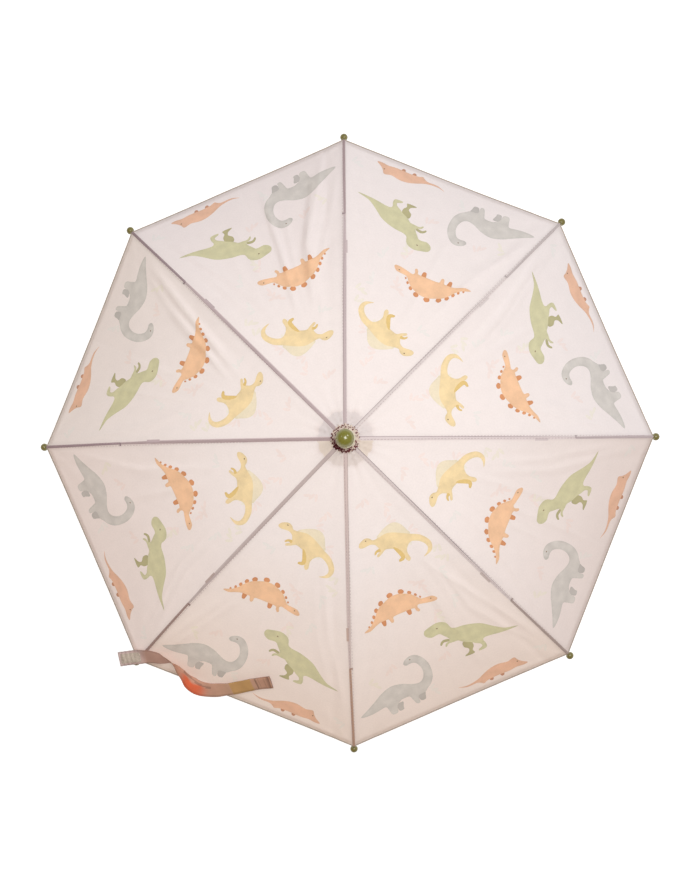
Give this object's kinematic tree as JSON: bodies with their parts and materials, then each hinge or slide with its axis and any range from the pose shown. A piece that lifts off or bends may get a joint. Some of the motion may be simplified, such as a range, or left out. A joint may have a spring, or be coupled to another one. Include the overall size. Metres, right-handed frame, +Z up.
{
  "type": "children's stick umbrella",
  "caption": "Open child-size stick umbrella with a folding rib frame, sliding runner, printed fabric canopy, ball finial, tie strap and crook handle.",
  "frame": {"origin": "on the shaft's axis, at the middle of the straight hand grip", "axes": "+Z up the shaft towards the finial, +Y towards rib 1, +X towards rib 3 and the crook's open end"},
  "size_m": [0.7086, 0.7086, 0.6455],
  "materials": {
    "canopy_fabric": "matte printed woven polyester",
    "strap_fabric": "matte printed woven polyester",
    "fastener_tape": "hook and loop tape",
    "rosette_fabric": "gathered woven polyester",
    "green_plastic": "gloss",
    "pale_green_plastic": "satin",
    "notch_plastic": "moulded",
    "shaft_steel": "drawn tube",
    "rib_steel": "plated"
  },
  "bodies": {
    "shaft": {"shaft_tube": "shaft_steel", "crown_notch": "notch_plastic", "crown_wire": "rib_steel", "crown_pin": "shaft_steel", "runner_stop_pin": "shaft_steel", "catch_pins": "shaft_steel", "rosette": "rosette_fabric", "finial_ferrule": "pale_green_plastic", "finial_ball": "green_plastic", "handle": "green_plastic", "handle_collar": "pale_green_plastic", "handle_pin": "shaft_steel", "handle_end_cap": "green_plastic"},
    "rib_arm_1": {"rib_1": "rib_steel", "rib_rivet_1": "rib_steel", "rib_tip_1": "green_plastic", "canopy_section_1": "canopy_fabric"},
    "rib_arm_2": {"rib_2": "rib_steel", "rib_rivet_2": "rib_steel", "rib_tip_2": "green_plastic", "canopy_section_2": "canopy_fabric"},
    "rib_arm_3": {"rib_3": "rib_steel", "rib_rivet_3": "rib_steel", "rib_tip_3": "green_plastic", "canopy_section_3": "canopy_fabric"},
    "rib_arm_4": {"rib_4": "rib_steel", "rib_rivet_4": "rib_steel", "rib_tip_4": "green_plastic", "canopy_section_4": "canopy_fabric"},
    "rib_arm_5": {"rib_5": "rib_steel", "rib_rivet_5": "rib_steel", "rib_tip_5": "green_plastic", "canopy_section_5": "canopy_fabric"},
    "rib_arm_6": {"rib_6": "rib_steel", "rib_rivet_6": "rib_steel", "rib_tip_6": "green_plastic", "canopy_section_6": "canopy_fabric", "tie_strap": "strap_fabric", "strap_loop_patch": "fastener_tape", "strap_hook_patch": "fastener_tape"},
    "rib_arm_7": {"rib_7": "rib_steel", "rib_rivet_7": "rib_steel", "rib_tip_7": "green_plastic", "canopy_section_7": "canopy_fabric"},
    "rib_arm_8": {"rib_8": "rib_steel", "rib_rivet_8": "rib_steel", "rib_tip_8": "green_plastic", "canopy_section_8": "canopy_fabric"},
    "stretcher_arm_1": {"stretcher_1": "rib_steel"},
    "stretcher_arm_2": {"stretcher_2": "rib_steel"},
    "stretcher_arm_3": {"stretcher_3": "rib_steel"},
    "stretcher_arm_4": {"stretcher_4": "rib_steel"},
    "stretcher_arm_5": {"stretcher_5": "rib_steel"},
    "stretcher_arm_6": {"stretcher_6": "rib_steel"},
    "stretcher_arm_7": {"stretcher_7": "rib_steel"},
    "stretcher_arm_8": {"stretcher_8": "rib_steel"},
    "runner": {"runner_sleeve": "notch_plastic", "runner_wire": "rib_steel"},
    "open_catch_lever": {"open_catch": "shaft_steel"},
    "close_catch_lever": {"close_catch": "shaft_steel"}
  },
  "joints": [
    {"name": "canopy_fold", "type": "hinge", "parent": "shaft", "child": "rib_arm_1", "pos_m": [0, 0.0095, 0.545], "axis": [-1, 0, 0], "range_deg": [0, 63], "deforming": ["canopy_section_1"]},
    {"name": "rib_2_fold", "type": "hinge", "parent": "shaft", "child": "rib_arm_2", "pos_m": [0.00672, 0.00672, 0.545], "axis": [-0.7071, 0.7071, 0], "range_deg": [0, 63], "deforming": ["canopy_section_2"]},
    {"name": "rib_3_fold", "type": "hinge", "parent": "shaft", "child": "rib_arm_3", "pos_m": [0.0095, 0, 0.545], "axis": [0, 1, 0], "range_deg": [0, 63], "deforming": ["canopy_section_3"]},
    {"name": "rib_4_fold", "type": "hinge", "parent": "shaft", "child": "rib_arm_4", "pos_m": [0.00672, -0.00672, 0.545], "axis": [0.7071, 0.7071, 0], "range_deg": [0, 63], "deforming": ["canopy_section_4"]},
    {"name": "rib_5_fold", "type": "hinge", "parent": "shaft", "child": "rib_arm_5", "pos_m": [0, -0.0095, 0.545], "axis": [1, 0, 0], "range_deg": [0, 63], "deforming": ["canopy_section_5"]},
    {"name": "rib_6_fold", "type": "hinge", "parent": "shaft", "child": "rib_arm_6", "pos_m": [-0.00672, -0.00672, 0.545], "axis": [0.7071, -0.7071, 0], "range_deg": [0, 63], "deforming": ["canopy_section_6", "tie_strap", "strap_loop_patch", "strap_hook_patch"]},
    {"name": "rib_7_fold", "type": "hinge", "parent": "shaft", "child": "rib_arm_7", "pos_m": [-0.0095, 0, 0.545], "axis": [0, -1, 0], "range_deg": [0, 63], "deforming": ["canopy_section_7"]},
    {"name": "rib_8_fold", "type": "hinge", "parent": "shaft", "child": "rib_arm_8", "pos_m": [-0.00672, 0.00672, 0.545], "axis": [-0.7071, -0.7071, 0], "range_deg": [0, 63], "deforming": ["canopy_section_8"]},
    {"name": "stretcher_1_fold", "type": "hinge", "parent": "rib_arm_1", "child": "stretcher_arm_1", "pos_m": [0, 0.22306, 0.47396], "axis": [-1, 0, 0], "range_deg": [-126, 0]},
    {"name": "stretcher_2_fold", "type": "hinge", "parent": "rib_arm_2", "child": "stretcher_arm_2", "pos_m": [0.15773, 0.15773, 0.47396], "axis": [-0.7071, 0.7071, 0], "range_deg": [-126, 0]},
    {"name": "stretcher_3_fold", "type": "hinge", "parent": "rib_arm_3", "child": "stretcher_arm_3", "pos_m": [0.22306, 0, 0.47396], "axis": [0, 1, 0], "range_deg": [-126, 0]},
    {"name": "stretcher_4_fold", "type": "hinge", "parent": "rib_arm_4", "child": "stretcher_arm_4", "pos_m": [0.15773, -0.15773, 0.47396], "axis": [0.7071, 0.7071, 0], "range_deg": [-126, 0]},
    {"name": "stretcher_5_fold", "type": "hinge", "parent": "rib_arm_5", "child": "stretcher_arm_5", "pos_m": [0, -0.22306, 0.47396], "axis": [1, 0, 0], "range_deg": [-126, 0]},
    {"name": "stretcher_6_fold", "type": "hinge", "parent": "rib_arm_6", "child": "stretcher_arm_6", "pos_m": [-0.15773, -0.15773, 0.47396], "axis": [0.7071, -0.7071, 0], "range_deg": [-126, 0]},
    {"name": "stretcher_7_fold", "type": "hinge", "parent": "rib_arm_7", "child": "stretcher_arm_7", "pos_m": [-0.22306, 0, 0.47396], "axis": [0, -1, 0], "range_deg": [-126, 0]},
    {"name": "stretcher_8_fold", "type": "hinge", "parent": "rib_arm_8", "child": "stretcher_arm_8", "pos_m": [-0.15773, 0.15773, 0.47396], "axis": [-0.7071, -0.7071, 0], "range_deg": [-126, 0]},
    {"name": "runner_travel", "type": "hinge", "parent": "stretcher_arm_1", "child": "runner", "pos_m": [0, 0.0095, 0.40292], "axis": [-1, 0, 0], "range_deg": [0, 63]},
    {"name": "open_catch_press", "type": "hinge", "parent": "shaft", "child": "open_catch_lever", "pos_m": [0.00129, 0.00054, 0.33972], "axis": [0.3827, -0.9239, 0], "range_deg": [0, 5], "stiffness_Nm_per_rad": 0.06, "springref_deg": -11.46},
    {"name": "close_catch_press", "type": "hinge", "parent": "shaft", "child": "close_catch_lever", "pos_m": [0.00129, 0.00054, 0.11153], "axis": [-0.3827, 0.9239, 0], "range_deg": [0, 5], "stiffness_Nm_per_rad": 0.06, "springref_deg": -11.46}
  ],
  "couplings": [
    {"joint": "rib_2_fold", "follows": "canopy_fold", "ratio": 1},
    {"joint": "rib_3_fold", "follows": "canopy_fold", "ratio": 1},
    {"joint": "rib_4_fold", "follows": "canopy_fold", "ratio": 1},
    {"joint": "rib_5_fold", "follows": "canopy_fold", "ratio": 1},
    {"joint": "rib_6_fold", "follows": "canopy_fold", "ratio": 1},
    {"joint": "rib_7_fold", "follows": "canopy_fold", "ratio": 1},
    {"joint": "rib_8_fold", "follows": "canopy_fold", "ratio": 1},
    {"joint": "stretcher_1_fold", "follows": "canopy_fold", "ratio": -2},
    {"joint": "stretcher_2_fold", "follows": "canopy_fold", "ratio": -2},
    {"joint": "stretcher_3_fold", "follows": "canopy_fold", "ratio": -2},
    {"joint": "stretcher_4_fold", "follows": "canopy_fold", "ratio": -2},
    {"joint": "stretcher_5_fold", "follows": "canopy_fold", "ratio": -2},
    {"joint": "stretcher_6_fold", "follows": "canopy_fold", "ratio": -2},
    {"joint": "stretcher_7_fold", "follows": "canopy_fold", "ratio": -2},
    {"joint": "stretcher_8_fold", "follows": "canopy_fold", "ratio": -2},
    {"joint": "runner_travel", "follows": "canopy_fold", "ratio": 1}
  ]
}
